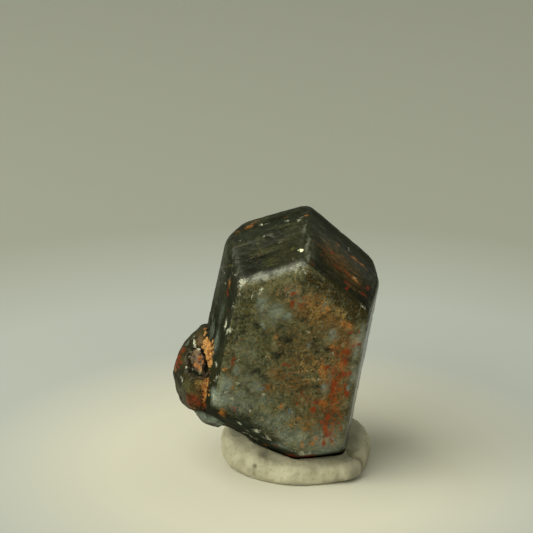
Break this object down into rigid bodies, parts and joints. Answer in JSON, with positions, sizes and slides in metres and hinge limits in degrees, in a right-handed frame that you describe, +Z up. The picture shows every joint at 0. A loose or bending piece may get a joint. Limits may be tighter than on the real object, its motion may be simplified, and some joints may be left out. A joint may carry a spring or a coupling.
{
  "type": "rough sapphire crystal",
  "caption": "Dark green barrel-shaped corundum crystal with a smaller crystal grown on its left side, standing upright in a pressed pad of cream display putty.",
  "frame": {"origin": "middle of the whole object's bounding box in plan, on the flat underside of the putty", "axes": "+Z up, -Y out of the crystal's large flat end towards the viewer, +X to the right in that view"},
  "size_m": [0.0136, 0.0114, 0.0184],
  "materials": {
    "sapphire_crystal": "near-black green corundum, glossy on the steep faces and frosted on the flat front end, with rust-coloured streaks and specks",
    "display_putty": "soft cream mineral putty, matt, with finger-smoothed sides"
  },
  "bodies": {
    "root": {"sapphire_crystal": "sapphire_crystal", "display_putty": "display_putty"}
  },
  "joints": []
}
